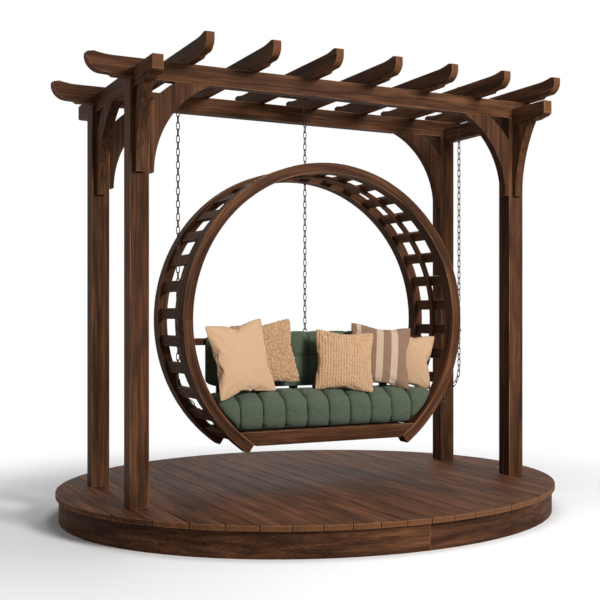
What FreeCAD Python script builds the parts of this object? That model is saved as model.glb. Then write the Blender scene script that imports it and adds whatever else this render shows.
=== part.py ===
import FreeCAD, Part
import math
import os
from FreeCAD import Vector, Placement, Rotation

# Round porch swing seat hung on three chains under a small timber pergola on an oval deck.
# Millimetres, +Z up, front towards -Y, origin at the centre of the deck's underside.
doc = FreeCAD.newDocument("PergolaSwing")
sheet = doc.addObject("Spreadsheet::Sheet", "Sizes")

# Driving dimensions. Heights called "above the deck" start at the top of the deck boards.
SIZES = {
    # oval deck
    "deck_length": 3340,
    "deck_depth": 2850,
    "board_thickness": 30,
    "board_pitch": 152.5,
    "board_gap": 6,
    "fascia_height": 150,
    "fascia_thickness": 35,
    "deck_overhang": 20,
    "joist_width": 45,
    "joist_pitch": 315,
    "timber_gap": 0.3,
    # posts and beams
    "post_side": 115,
    "post_spacing_x": 2665,
    "post_spacing_y": 812,
    "beam_underside": 2437,
    "beam_height": 113,
    "beam_thickness": 70,
    "beam_half_length": 1635,
    "side_beam_height": 110,
    "side_beam_thickness": 64,
    "side_beam_half_length": 790,
    "lap_depth": 63,
    "tail_length": 165,
    "tail_flare": 14,
    "tail_scoop": 88,
    "tail_notch": 14,
    "beam_nose": 24,
    "rafter_nose": 45,
    "side_beam_nose": 78,
    # rafters
    "rafter_height": 108,
    "rafter_thickness": 50,
    "rafter_half_length": 768,
    "rafter_pitch": 408.8,
    # curved braces
    "brace_thickness": 58,
    "brace_reach": 380,
    "brace_drop": 530,
    "brace_foot": 30,
    "brace_top_gap": 160,
    "brace_side_gap": 150,
    "tail_brace_reach": 175,
    "tail_brace_drop": 485,
    "tail_brace_top_gap": 60,
    "tail_brace_side_gap": 200,
    # chains and eyes
    "chain_wire": 6,
    "link_pitch": 39,
    "link_width": 24,
    "link_play": 0.3,
    "link_count": 39,
    "pivot_play": 0.8,
    "eye_inner_radius": 10.5,
    "eye_drop": 20,
    "shank_radius": 5,
    "shank_clearance": 0.5,
    "nut_width": 17,
    "nut_height": 8,
    "washer_radius": 15,
    "washer_thickness": 2.5,
    "block_width": 70,
    "block_height": 90,
    "spare_link_spacing": 39,
    "approach_angle": 43,
    "hook_play": 0.9,
    # round frame of the seat
    "ring_above_pivot": 62,
    "ring_radius": 1005,
    "ring_width": 65,
    "ring_front_depth": 95,
    "ring_rear_depth": 85,
    "swing_depth": 560,
    "ring_end_angle": 55,
    "side_chain_play": 5,
    "side_chain_inset": 45,
    "rib_depth": 38,
    "rib_width": 24,
    "rib_offset": -20,
    "slat_width": 68,
    "slat_thickness": 25,
    "slat_inset": 20,
    "slat_pitch_angle": 10.1,
    "slat_first_angle": -44.5,
    "slat_count": 28,
    # seat frame
    "apron_drop": 694,
    "apron_height": 88,
    "apron_thickness": 45,
    "apron_recess": 7,
    "ledger_side": 28,
    "seat_board_width": 104,
    "seat_board_pitch": 116,
    "seat_board_count": 10,
    "seat_board_thickness": 22,
    "back_rail_height": 45,
    "back_rail_thickness": 35,
    "back_rail_drop": 27,
    "back_chain_y": 100,
    "back_slat_width": 60,
    "back_slat_thickness": 16,
    "back_slat_pitch": 175,
    "back_slat_count": 8,
    "shank_bite": 30,
    "hook_angle": 33,
    # cushions
    "soft_gap": 0.3,
    "cushion_side_gap": 20,
    "cushion_half_width": 778,
    "cushion_height": 238,
    "cushion_crown": 14,
    "cushion_front_round": 34,
    "cushion_roll_count": 10,
    "cushion_roll_depth": 13,
    "cushion_front_overhang": 13,
    "back_cushion_half_width": 730,
    "back_cushion_height": 366,
    "back_cushion_thickness": 52,
    "back_cushion_roll_count": 10,
    "pillow_size": 470,
    "pillow_thickness": 106,
    "pillow_pull_in": 20,
}
for row, (name, number) in enumerate(SIZES.items(), 1):
    sheet.set("A%d" % row, name)
    sheet.set("B%d" % row, str(number))
    sheet.setAlias("B%d" % row, name)
doc.recompute()


def size(name):
    return float(sheet.get(name))


# Levels and places that several pieces share
deck_top = size("fascia_height") + size("board_thickness")
post_x = size("post_spacing_x") / 2
post_y = size("post_spacing_y") / 2
post_half = size("post_side") / 2
beam_z = deck_top + size("beam_underside")
beam_top = beam_z + size("beam_height")
side_beam_top = beam_z + size("lap_depth")
side_beam_z = side_beam_top - size("side_beam_height")
beam_y = post_y + post_half - size("beam_thickness") / 2
rear_beam_y = post_y - post_half + size("beam_thickness") / 2
half_wire = size("chain_wire") / 2
pivot_reach = half_wire + size("pivot_play") + half_wire
eye_radius = size("eye_inner_radius") + half_wire
upper_pivot_z = beam_top - size("eye_drop") - eye_radius
link_inner = size("link_pitch") + size("link_play")
first_link_z = upper_pivot_z + half_wire + size("pivot_play") - link_inner / 2
last_link_z = first_link_z - (size("link_count") - 1) * size("link_pitch")
lower_pivot_z = last_link_z - link_inner / 2 + half_wire + size("pivot_play")
ring_z = lower_pivot_z + size("ring_above_pivot")
ring_inner = size("ring_radius") - size("ring_width")
swing_front = -size("swing_depth") / 2
swing_rear = size("swing_depth") / 2
side_chain_x = size("ring_radius") + size("side_chain_play") + size("link_width") / 2
side_chain_y = swing_front + size("side_chain_inset")
slat_outer = size("ring_radius") - size("slat_inset")
slat_inner = slat_outer - size("slat_thickness")
apron_top = ring_z - size("apron_drop")
apron_z = apron_top - size("apron_height")
apron_front = swing_front + size("apron_recess")
apron_rear = apron_front + size("apron_thickness")
back_rail_top = lower_pivot_z - 2 * eye_radius - half_wire - size("back_rail_drop")

BOLT_SIDES = 8
NUT_SIDES = 6
nodes = []


def keep(piece, name):
    piece.Label = name
    nodes.append(piece)
    return piece


def origin_plane(body, role):
    return next(part for part in body.Origin.OriginFeatures if part.Role == role)


def draw(sketch, outline):
    """Lines and three-point arcs, one after the other, as (end,) or (through, end)."""
    start = outline[0][-1]
    for step in outline[1:]:
        end = step[-1]
        if len(step) == 2:
            sketch.addGeometry(Part.Arc(Vector(*start, 0), Vector(*step[0], 0), Vector(*end, 0)), False)
        else:
            sketch.addGeometry(Part.LineSegment(Vector(*start, 0), Vector(*end, 0)), False)
        start = end


def padded(name, outline, plane, thickness, place):
    """A timber sawn to an outline: a sketch padded evenly to both sides of its plane."""
    body = doc.addObject("PartDesign::Body", name)
    sketch = body.newObject("Sketcher::SketchObject", name + "_outline")
    sketch.AttachmentSupport = [(origin_plane(body, plane), "")]
    sketch.MapMode = "FlatFace"
    draw(sketch, outline)
    pad = body.newObject("PartDesign::Pad", name + "_pad")
    pad.Profile = sketch
    pad.SideType = "Symmetric"
    pad.setExpression("Length", thickness)
    sketch.Visibility = False
    body.Placement = Placement(Vector(*place), Rotation())
    return body


def flat_sided(count, flat_radius, centre=(0, 0)):
    """Corners of a regular outline whose flats lie at that distance from its centre."""
    corner = flat_radius / math.cos(math.pi / count)
    turns = [math.pi / count * (2 * step + 1) for step in range(count)]
    return [(centre[0] + corner * math.cos(turn), centre[1] + corner * math.sin(turn)) for turn in turns]


def flat_face(points):
    corners = [Vector(x, y, 0) for x, y in points]
    return Part.Face(Part.makePolygon(corners + corners[0:1]))


def bar(count, flat_radius, length, base, direction):
    """A straight bar with flat sides: a faceted shank or the bore that it goes through."""
    piece = flat_face(flat_sided(count, flat_radius)).extrude(Vector(0, 0, length))
    piece.Placement = Placement(base, Rotation(Vector(0, 0, 1), direction))
    return piece


def drill(body, name, plane, centre, radius, depth):
    """A bolt hole through a padded timber, square to one of its origin planes."""
    sketch = body.newObject("Sketcher::SketchObject", name + "_outline")
    sketch.AttachmentSupport = [(origin_plane(body, plane), "")]
    sketch.MapMode = "FlatFace"
    corners = [(corner,) for corner in flat_sided(BOLT_SIDES, radius, centre)]
    draw(sketch, corners + corners[0:1])
    pocket = body.newObject("PartDesign::Pocket", name)
    pocket.Profile = sketch
    pocket.SideType = "Symmetric"
    pocket.Length = depth


def group(name, shapes):
    """Like pieces that share one node, each still a solid of its own."""
    piece = doc.addObject("Part::Feature", name)
    piece.Shape = Part.makeCompound(shapes)
    return keep(piece, name)


# Deck boards run front to back and are cut together to one oval.
def oval(inset, height, z):
    ellipse = Part.Ellipse(Vector(0, 0, z), size("deck_length") / 2 - inset, size("deck_depth") / 2 - inset)
    return Part.Face(Part.Wire(ellipse.toShape())).extrude(Vector(0, 0, height))


deck_oval = oval(0, size("board_thickness"), size("fascia_height"))
board_width = size("board_pitch") - size("board_gap")
boards_each_side = math.ceil(size("deck_length") / 2 / size("board_pitch"))
boards = []
for step in range(-boards_each_side, boards_each_side):
    plank = Part.makeBox(board_width, size("deck_depth"), size("board_thickness"))
    plank.translate(Vector(step * size("board_pitch") + size("board_gap") / 2, -size("deck_depth") / 2,
                           size("fascia_height")))
    boards.extend(plank.common(deck_oval).Solids)
group("deck_boards", boards)

# The fascia is a curved band in four lengths under the boards' edge.
fascia_band = oval(size("deck_overhang"), size("fascia_height"), 0)
fascia_band = fascia_band.cut(oval(size("deck_overhang") + size("fascia_thickness"), size("fascia_height"), 0))
for name, x_side, y_side in (("fascia_front_left", -1, -1), ("fascia_front_right", 1, -1),
                             ("fascia_rear_left", -1, 1), ("fascia_rear_right", 1, 1)):
    quarter = Part.makeBox(size("deck_length") / 2, size("deck_depth") / 2, size("fascia_height"))
    quarter.translate(Vector(min(0, x_side) * size("deck_length") / 2,
                             min(0, y_side) * size("deck_depth") / 2, 0))
    length_of_fascia = doc.addObject("Part::Feature", name)
    length_of_fascia.Shape = fascia_band.common(quarter).Solids[0]
    keep(length_of_fascia, name)

# Joists lie across the boards inside the fascia.
inner_oval = oval(size("deck_overhang") + size("fascia_thickness") + size("timber_gap"), size("fascia_height"), 0)
joists_each_side = int((size("deck_depth") / 2 - size("fascia_thickness")) / size("joist_pitch"))
joists = []
for step in range(-joists_each_side, joists_each_side + 1):
    joist = Part.makeBox(size("deck_length"), size("joist_width"), size("fascia_height"))
    joist.translate(Vector(-size("deck_length") / 2, step * size("joist_pitch") - size("joist_width") / 2, 0))
    joists.append(joist.common(inner_oval).Solids[0])
group("deck_joists", joists)

# Each post stands on the deck; its top is slotted for the side beam and carries a cross beam on its cheeks.
slot_half = size("side_beam_thickness") / 2 + size("timber_gap")
slot_z = side_beam_z - deck_top
post_outline = [((-post_half, 0),), ((post_half, 0),), ((post_half, size("beam_underside")),),
                ((slot_half, size("beam_underside")),), ((slot_half, slot_z),), ((-slot_half, slot_z),),
                ((-slot_half, size("beam_underside")),), ((-post_half, size("beam_underside")),),
                ((-post_half, 0),)]
for name, x_side, y_side in (("post_front_left", -1, -1), ("post_front_right", 1, -1),
                             ("post_rear_left", -1, 1), ("post_rear_right", 1, 1)):
    keep(padded(name, post_outline, "XZ_Plane", "Sizes.post_side",
                (x_side * post_x, y_side * post_y, deck_top)), name)


def tail(tip, top, bottom, nose, flare):
    """Outline of an upswept tail from the top edge round the nose to the bottom edge."""
    start = tip - size("tail_length")
    scoop = tip - size("tail_scoop")
    notch = tip - size("tail_length") * 0.85
    return [((start, top),),
            ((tip - size("tail_length") * 0.6, top + flare * 0.25), (tip - size("tail_length") * 0.24, top + flare)),
            ((tip, top + flare * 0.4),),
            ((tip, top + flare * 0.4 - nose),),
            ((tip - size("tail_scoop") * 0.42, bottom + (top - nose - bottom) * 0.36),
             (scoop, bottom + size("tail_notch"))),
            ((notch, bottom + size("tail_notch") * 0.8),),
            ((notch - size("tail_notch"), bottom),)]


def blunt_tail(tip, top, bottom, nose):
    """Outline of a plain tail: square nose, hollowed underside and a small notch."""
    scoop = tip - size("tail_scoop") * 0.55
    notch = scoop - size("tail_notch") * 2
    return [((tip, top),), ((tip, top - nose),),
            ((tip - size("tail_scoop") * 0.2, bottom + size("tail_notch") * 1.3),
             (scoop, bottom + size("tail_notch") * 0.8)),
            ((notch, bottom + size("tail_notch") * 0.7),), ((notch - size("tail_notch"), bottom),)]


def turned_back(steps):
    """The same outline walked from its end to its start."""
    back = [(steps[-1][-1],)]
    for index in range(len(steps) - 1, 0, -1):
        back.append(steps[index][:-1] + (steps[index - 1][-1],))
    return back


def other_end(steps):
    """The outline of the opposite end, so that a timber is the same at both ends."""
    return [tuple((-x, y) for x, y in step) for step in turned_back(steps)]


def notch(centre, half_width, depth):
    """A square notch in an underside, walked from right to left."""
    return [((centre + half_width, 0),), ((centre + half_width, depth),),
            ((centre - half_width, depth),), ((centre - half_width, 0),)]


# The two cross beams are notched underneath where they lap over the side beams.
beam_end = tail(size("beam_half_length"), size("beam_height"), 0, size("beam_nose"), size("tail_flare"))
beam_outline = beam_end + notch(post_x, slot_half, size("lap_depth")) + notch(-post_x, slot_half, size("lap_depth"))
beam_outline = beam_outline + other_end(beam_end) + beam_end[0:1]
for name, y_place in (("front_beam", -beam_y), ("rear_beam", rear_beam_y)):
    keep(padded(name, beam_outline, "XZ_Plane", "Sizes.beam_thickness", (0, y_place, beam_z)), name)

# The side beams run through the post slots, under the cross beams.
side_end = blunt_tail(size("side_beam_half_length"), size("side_beam_height"), 0, size("side_beam_nose"))
side_outline = [((0, size("side_beam_height")),)] + side_end + other_end(side_end) + [((0, size("side_beam_height")),)]
for name, x_side in (("side_beam_left", -1), ("side_beam_right", 1)):
    keep(padded(name, side_outline, "YZ_Plane", "Sizes.side_beam_thickness",
                (x_side * post_x, 0, side_beam_z)), name)

# Seven rafters lie on the cross beams; the first and sixth stand right above the side chains.
rafter_end = tail(size("rafter_half_length"), size("rafter_height"), 0, size("rafter_nose"), size("tail_flare"))
rafter_outline = rafter_end + other_end(rafter_end) + rafter_end[0:1]
bolt_hole = size("shank_radius") + size("shank_clearance")
rafter_x = [-side_chain_x + index * size("rafter_pitch") for index in range(7)]
for index, x_place in enumerate(rafter_x, 1):
    rafter = padded("rafter_%d" % index, rafter_outline, "YZ_Plane", "Sizes.rafter_thickness",
                    (x_place, 0, beam_top))
    if index in (1, 6):
        drill(rafter, "rafter_%d_bolt_hole" % index, "XY_Plane",
              (side_chain_x * (-1 if index == 1 else 1) - x_place, side_chain_y), bolt_hole,
              4 * size("rafter_height"))
    keep(rafter, "rafter_%d" % index)

# A cross block between the two middle rafters carries the back chain.
block_half_length = (rafter_x[3] - rafter_x[2] - size("rafter_thickness")) / 2
block_centre_x = (rafter_x[3] + rafter_x[2]) / 2
block = Part.makeBox(2 * block_half_length, size("block_width"), size("block_height"))
block.translate(Vector(block_centre_x - block_half_length, size("back_chain_y") - size("block_width") / 2, beam_top))
block_hole = bar(BOLT_SIDES, bolt_hole, size("block_height"), Vector(0, size("back_chain_y"), beam_top),
                 Vector(0, 0, 1))
chain_block = doc.addObject("Part::Feature", "chain_block")
chain_block.Shape = block.cut(block_hole)
keep(chain_block, "chain_block")


def brace(reach, drop, foot, top_gap, side_gap):
    """Curved brace from a post face at x = 0 up to the beam's underside at z = 0."""
    run = reach - foot
    radius = (run * run + drop * drop) / (2 * run)
    half_turn = math.atan2(drop, radius - run) / 2
    soffit = (foot + radius - radius * math.cos(half_turn), -drop + radius * math.sin(half_turn))
    back = (top_gap * 0.46, -side_gap * 0.46)
    return [((0, -drop),), ((foot, -drop),), (soffit, (reach, 0)), ((top_gap, 0),), (back, (0, -side_gap)),
            ((0, -drop),)]


# Cross braces reach inward under the cross beams from all four posts.
cross_brace = brace(size("brace_reach"), size("brace_drop"), size("brace_foot"), size("brace_top_gap"),
                    size("brace_side_gap"))
for name, x_side, y_place in (("brace_front_left", -1, -beam_y), ("brace_front_right", 1, -beam_y),
                              ("brace_rear_left", -1, rear_beam_y), ("brace_rear_right", 1, rear_beam_y)):
    outline = cross_brace if x_side < 0 else other_end(cross_brace)
    keep(padded(name, outline, "XZ_Plane", "Sizes.brace_thickness",
                (x_side * (post_x - post_half), y_place, beam_z)), name)

# Side braces stand under the side beams: forward under the front tails, and inward at the rear left post.
tail_brace = brace(size("tail_brace_reach"), size("tail_brace_drop"), size("brace_foot"),
                   size("tail_brace_top_gap"), size("tail_brace_side_gap"))
for name, x_side in (("tail_brace_left", -1), ("tail_brace_right", 1)):
    keep(padded(name, other_end(tail_brace), "YZ_Plane", "Sizes.brace_thickness",
                (x_side * post_x, -post_y - post_half, side_beam_z)), name)
keep(padded("side_brace_left", other_end(cross_brace), "YZ_Plane", "Sizes.brace_thickness",
            (-post_x, post_y - post_half, side_beam_z)), "side_brace_left")


def flat_link(inner_length, inner_width, wire):
    """One closed link with tapered ends, long side along Z, wide side along X, thin side along Y."""
    half_long = inner_length / 2 + wire
    half_wide = inner_width / 2 + wire
    shoulder = half_long - wire * 1.3
    outer = [(0, half_long), (half_wide, shoulder), (half_wide, -shoulder), (0, -half_long), (-half_wide, -shoulder),
             (-half_wide, shoulder)]
    inner = [(x * inner_width / 2, z * inner_length / 2) for x, z in ((1, 1), (1, -1), (-1, -1), (-1, 1))]
    plate = flat_face(outer).cut(flat_face(inner)).extrude(Vector(0, 0, wire))
    plate.translate(Vector(0, 0, -wire / 2))
    plate.rotate(Vector(0, 0, 0), Vector(1, 0, 0), 90)
    return plate


link = flat_link(link_inner, size("link_width") - 2 * size("chain_wire"), size("chain_wire"))


def eye_ring():
    """The faceted ring of an eye bolt, hole along Y."""
    rim = flat_face(flat_sided(BOLT_SIDES, size("eye_inner_radius") + size("chain_wire")))
    ring = rim.cut(flat_face(flat_sided(BOLT_SIDES, size("eye_inner_radius")))).extrude(Vector(0, 0, size("chain_wire")))
    ring.translate(Vector(0, 0, -half_wire))
    ring.rotate(Vector(0, 0, 0), Vector(1, 0, 0), 90)
    return ring


def eye_bolt(centre, direction, shank_length, quarter_turn=0):
    """An eye at its centre with a shank that leaves its rim along the given direction."""
    shank_flat = size("shank_radius") * math.cos(math.pi / BOLT_SIDES)
    shank = bar(BOLT_SIDES, shank_flat, shank_length + half_wire, Vector(0, 0, eye_radius), Vector(0, 0, 1))
    bolt = eye_ring().fuse(shank).removeSplitter()
    bolt.rotate(Vector(0, 0, 0), Vector(0, 0, 1), quarter_turn)
    bolt.Placement = Placement(centre, Rotation(Vector(0, 0, 1), direction)) * bolt.Placement
    return bolt


# Three chains of equal length: the first and last links lie square to the eyes that they hang in.
chain_places = (("chain_left", -side_chain_x, side_chain_y), ("chain_right", side_chain_x, side_chain_y),
                ("chain_back", 0, size("back_chain_y")))
for name, x_place, y_place in chain_places:
    links = []
    for index in range(int(size("link_count"))):
        one = link.copy()
        if index % 2 == 0:
            one.rotate(Vector(0, 0, 0), Vector(0, 0, 1), 90)
        one.translate(Vector(x_place, y_place, first_link_z - index * size("link_pitch")))
        links.append(one)
    group(name, links)

# Eye bolts pass up through the rafters and the cross block to a washer and nut on top.
upper_eye_z = upper_pivot_z + eye_radius
eye_bolts = []
nuts = []
for (name, x_place, y_place), carrier in zip(chain_places, ("rafter_height", "rafter_height", "block_height")):
    carrier_top = beam_top + size(carrier)
    shank_end = carrier_top + size("washer_thickness") + size("nut_height") + size("washer_thickness")
    shank_length = shank_end - upper_eye_z - eye_radius - half_wire
    eye_bolts.append(eye_bolt(Vector(x_place, y_place, upper_eye_z), Vector(0, 0, 1), shank_length))
    up = Vector(0, 0, 1)
    bore = bar(BOLT_SIDES, bolt_hole, 3 * size("nut_height"), Vector(x_place, y_place, carrier_top), up)
    washer = bar(BOLT_SIDES, size("washer_radius"), size("washer_thickness"), Vector(x_place, y_place, carrier_top), up)
    nut_z = carrier_top + size("washer_thickness")
    nut = bar(NUT_SIDES, size("nut_width") / 2, size("nut_height"), Vector(x_place, y_place, nut_z), up)
    nuts.extend([washer.cut(bore), nut.cut(bore)])
group("beam_eye_bolts", eye_bolts)
group("eye_bolt_nuts", nuts)

# The seat's round frame: two laminated hoops open at the bottom, square cut at their ends.
end_angle = math.radians(size("ring_end_angle"))


def on_circle(radius, angle):
    return (radius * math.cos(angle), radius * math.sin(angle))


def hoop(outer, inner):
    top = math.pi / 2
    return [(on_circle(outer, -end_angle),), (on_circle(outer, top), on_circle(outer, math.pi + end_angle)),
            (on_circle(inner, math.pi + end_angle),), (on_circle(inner, top), on_circle(inner, -end_angle)),
            (on_circle(outer, -end_angle),)]


side_eye_z = lower_pivot_z - eye_radius
eye_rise = side_eye_z - ring_z
rim_x = math.sqrt(size("ring_radius") ** 2 - eye_rise ** 2)
hook_angle = math.radians(size("hook_angle"))
hook_radius = size("ring_radius") + eye_radius + half_wire + size("timber_gap")
ring_blank = padded("front_ring_blank", hoop(size("ring_radius"), ring_inner), "XZ_Plane", "Sizes.ring_front_depth",
                    (0, swing_front + size("ring_front_depth") / 2, ring_z))
doc.recompute()
bores = []
for side in (-1, 1):
    bores.append(bar(BOLT_SIDES, bolt_hole, 2 * size("shank_bite"),
                     Vector(side * (rim_x - size("shank_bite")), side_chain_y, side_eye_z), Vector(side, 0, 0)))
    inward = Vector(-side * math.cos(hook_angle), 0, math.sin(hook_angle))
    bores.append(bar(BOLT_SIDES, bolt_hole, 2 * size("shank_bite"),
                     Vector(0, side_chain_y, ring_z) - inward * (size("ring_radius") - size("shank_bite")),
                     inward * -1))
front_ring = doc.addObject("Part::Feature", "front_ring")
front_ring.Shape = ring_blank.Shape.cut(Part.makeCompound(bores)).Solids[0]
keep(front_ring, "front_ring")
keep(padded("rear_ring", hoop(size("ring_radius"), ring_inner), "XZ_Plane", "Sizes.ring_rear_depth",
            (0, swing_rear - size("ring_rear_depth") / 2, ring_z)), "rear_ring")

# A slim middle rib runs inside the slats, halfway between the hoops.
rib_outer = slat_inner - size("timber_gap")
keep(padded("middle_rib", hoop(rib_outer, rib_outer - size("rib_width")), "XZ_Plane", "Sizes.rib_depth",
            (0, size("rib_offset"), ring_z)), "middle_rib")

# Flat slats are let in between the hoops at an even pitch.
slat_front = swing_front + size("ring_front_depth")
slat_rear = swing_rear - size("ring_rear_depth")
slats = []
for index in range(int(size("slat_count"))):
    slat = Part.makeBox(size("slat_thickness"), slat_rear - slat_front, size("slat_width"))
    slat.translate(Vector(slat_inner, slat_front, -size("slat_width") / 2))
    angle = size("slat_first_angle") + index * size("slat_pitch_angle")
    slat.rotate(Vector(0, 0, 0), Vector(0, -1, 0), angle)
    slat.translate(Vector(0, 0, ring_z))
    slats.append(slat)
group("ring_slats", slats)


def rail_outline(top_drop, bottom_drop, end_radius):
    """A rail across the hoop: level edges, ends cut to the hoop's inside."""
    corners = []
    for drop in (top_drop, (top_drop + bottom_drop) / 2, bottom_drop):
        corners.append((math.sqrt(end_radius ** 2 - drop ** 2), -drop))
    upper, middle, lower = corners
    left = [(-x, z) for x, z in (lower, middle, upper)]
    return [(upper,), (middle, lower), (left[0],), (left[1], left[2]), (upper,)]


rail_end = ring_inner - size("timber_gap")
apron_outline = rail_outline(size("apron_drop"), size("apron_drop") + size("apron_height"), rail_end)
apron_y = apron_front + size("apron_thickness") / 2
keep(padded("front_apron", apron_outline, "XZ_Plane", "Sizes.apron_thickness", (0, apron_y, ring_z)), "front_apron")
keep(padded("rear_rail", apron_outline, "XZ_Plane", "Sizes.apron_thickness", (0, -apron_y, ring_z)), "rear_rail")

# Seat boards lie on ledgers behind the apron and in front of the rear rail.
boards_z = apron_top - size("seat_board_thickness")
board_run = (size("seat_board_count") - 1) * size("seat_board_pitch") + size("seat_board_width")
ledgers = []
for y_place in (apron_rear, -apron_rear - size("ledger_side")):
    ledger = Part.makeBox(board_run, size("ledger_side"), size("ledger_side"))
    ledger.translate(Vector(-board_run / 2, y_place, boards_z - size("ledger_side")))
    ledgers.append(ledger)
group("seat_ledgers", ledgers)
seat_boards = []
for index in range(int(size("seat_board_count"))):
    seat_board = Part.makeBox(size("seat_board_width"), -2 * apron_rear - 2 * size("timber_gap"),
                              size("seat_board_thickness"))
    seat_board.translate(Vector(-board_run / 2 + index * size("seat_board_pitch"),
                                apron_rear + size("timber_gap"), boards_z))
    seat_boards.append(seat_board)
group("seat_boards", seat_boards)

# The back rest: a rail across the seat with upright slats between it and the seat boards.
back_rail_drop = ring_z - back_rail_top
back_rail_outline = rail_outline(back_rail_drop, back_rail_drop + size("back_rail_height"), rail_end)
back_rail = padded("back_rail", back_rail_outline, "XZ_Plane", "Sizes.back_rail_thickness",
                   (0, size("back_chain_y"), ring_z))
drill(back_rail, "back_rail_bolt_hole", "XY_Plane", (0, 0), bolt_hole, 4 * back_rail_drop)
keep(back_rail, "back_rail")
back_front = size("back_chain_y") - size("back_rail_thickness") / 2
back_slats = []
for index in range(int(size("back_slat_count"))):
    back_slat = Part.makeBox(size("back_slat_width"), size("back_slat_thickness"),
                             back_rail_top - size("back_rail_height") - apron_top)
    middle = (index - (size("back_slat_count") - 1) / 2) * size("back_slat_pitch")
    back_slat.translate(Vector(middle - size("back_slat_width") / 2,
                               size("back_chain_y") - size("back_slat_thickness") / 2, apron_top))
    back_slats.append(back_slat)
group("back_slats", back_slats)

# Eyes on the seat: one each side of the front hoop and one on the back rail.
side_shank = side_chain_x - eye_radius - half_wire - rim_x + size("shank_bite") - size("shank_clearance")
seat_eyes = [eye_bolt(Vector(-side_chain_x, side_chain_y, side_eye_z), Vector(1, 0, 0), side_shank),
             eye_bolt(Vector(side_chain_x, side_chain_y, side_eye_z), Vector(-1, 0, 0), side_shank),
             eye_bolt(Vector(0, size("back_chain_y"), side_eye_z), Vector(0, 0, -1),
                      size("back_rail_drop") + size("shank_bite"))]
group("seat_eye_bolts", seat_eyes)

# The spare end of each side chain hangs on below its eye and is hooked back to the hoop.
# Its line is set by points from the hoop's centre, right-hand side.
hook_centre = Vector(hook_radius * math.cos(hook_angle), 0, -hook_radius * math.sin(hook_angle))
outward = Vector(math.cos(hook_angle), 0, -math.sin(hook_angle))
approach = Vector(math.cos(math.radians(size("approach_angle"))), 0, math.sin(math.radians(size("approach_angle"))))
link_reach = link_inner / 2 + half_wire - pivot_reach
spare_start = Vector(side_chain_x, 0, side_eye_z - ring_z - eye_radius - link_reach)
spare_end = hook_centre + outward * eye_radius + approach * (link_reach - size("hook_play"))
spare_line = [spare_start, Vector(side_chain_x, 0, -210), Vector(side_chain_x, 0, -325), Vector(1017, 0, -378),
              Vector(1000, 0, -422), Vector(968, 0, -463), spare_end + approach * size("link_pitch"), spare_end]
curve = Part.BSplineCurve()
curve.interpolate(spare_line)
spare_length = curve.length()
spare_steps = 2 * math.ceil(spare_length / size("spare_link_spacing") / 2 - 0.5) + 1
print("spare chain", round(spare_length), "mm, link spacing", round(spare_length / spare_steps, 2))
hooks = []
for name, side in (("chain_end_left", -1), ("chain_end_right", 1)):
    links = []
    for index in range(spare_steps + 1):
        at = curve.parameterAtDistance(index * spare_length / spare_steps, curve.FirstParameter)
        point = curve.value(at)
        slope = curve.tangent(at)[0]
        one = link.copy()
        if index % 2 == 0:
            one.rotate(Vector(0, 0, 0), Vector(0, 0, 1), 90)
        lean = math.degrees(math.atan2(slope.x, -slope.z))
        one.rotate(Vector(0, 0, 0), Vector(0, 1, 0), -side * lean)
        one.translate(Vector(side * point.x, side_chain_y, ring_z + point.z))
        links.append(one)
    group(name, links)
    hook_way = Vector(side * outward.x, 0, outward.z)
    hook_reach = size("timber_gap") + size("shank_bite") - size("shank_clearance")
    hooks.append(eye_bolt(Vector(0, side_chain_y, ring_z) + hook_way * hook_radius, hook_way * -1, hook_reach, 90))
group("chain_end_hooks", hooks)


def roll_swell(place, width, count):
    """From 0 in a sewn channel to 1 on the crest of a roll."""
    return abs(math.sin(math.pi * (place / width + 0.5) * count))


def chords(start, through, end, count):
    """The points of an arc cut into that many straight chords, without its end point."""
    return Part.Arc(start, through, end).toShape().discretize(count + 1)[:-1]


def facet_loft(sections):
    """A closed solid through like sections, each a list of corners, with flat facets between them."""
    faces = [Part.Face(Part.makePolygon(points + points[0:1])) for points in (sections[0], sections[-1])]
    for near, far in zip(sections, sections[1:]):
        for index in range(len(near)):
            after = (index + 1) % len(near)
            faces.append(Part.Face(Part.makePolygon([near[index], near[after], far[after], near[index]])))
            faces.append(Part.Face(Part.makePolygon([near[index], far[after], far[index], near[index]])))
    shell = Part.makeShell(faces)
    shell.sewShape()
    solid = Part.makeSolid(Part.Shell(shell.Faces))
    if solid.Volume < 0:
        solid.reverse()
    return solid


def cushion_section(x, y_front, y_rear, z_low, z_high, front_round, crown):
    """One cut through a cushion: flat bottom and back, bowed front, crowned top."""
    bottom_front = Vector(x, y_front + front_round * 0.4, z_low)
    top_front = Vector(x, y_front + front_round, z_high - front_round * 0.4)
    nose = Vector(x, y_front, z_low + (z_high - z_low) * 0.55)
    top_middle = Vector(x, (y_front + y_rear) / 2, z_high + crown)
    top_rear = Vector(x, y_rear, z_high - crown)
    bottom_rear = Vector(x, y_rear, z_low)
    return ([bottom_rear] + chords(bottom_front, nose, top_front, 4)
            + chords(top_front, top_middle, top_rear, 4) + [top_rear])


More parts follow.
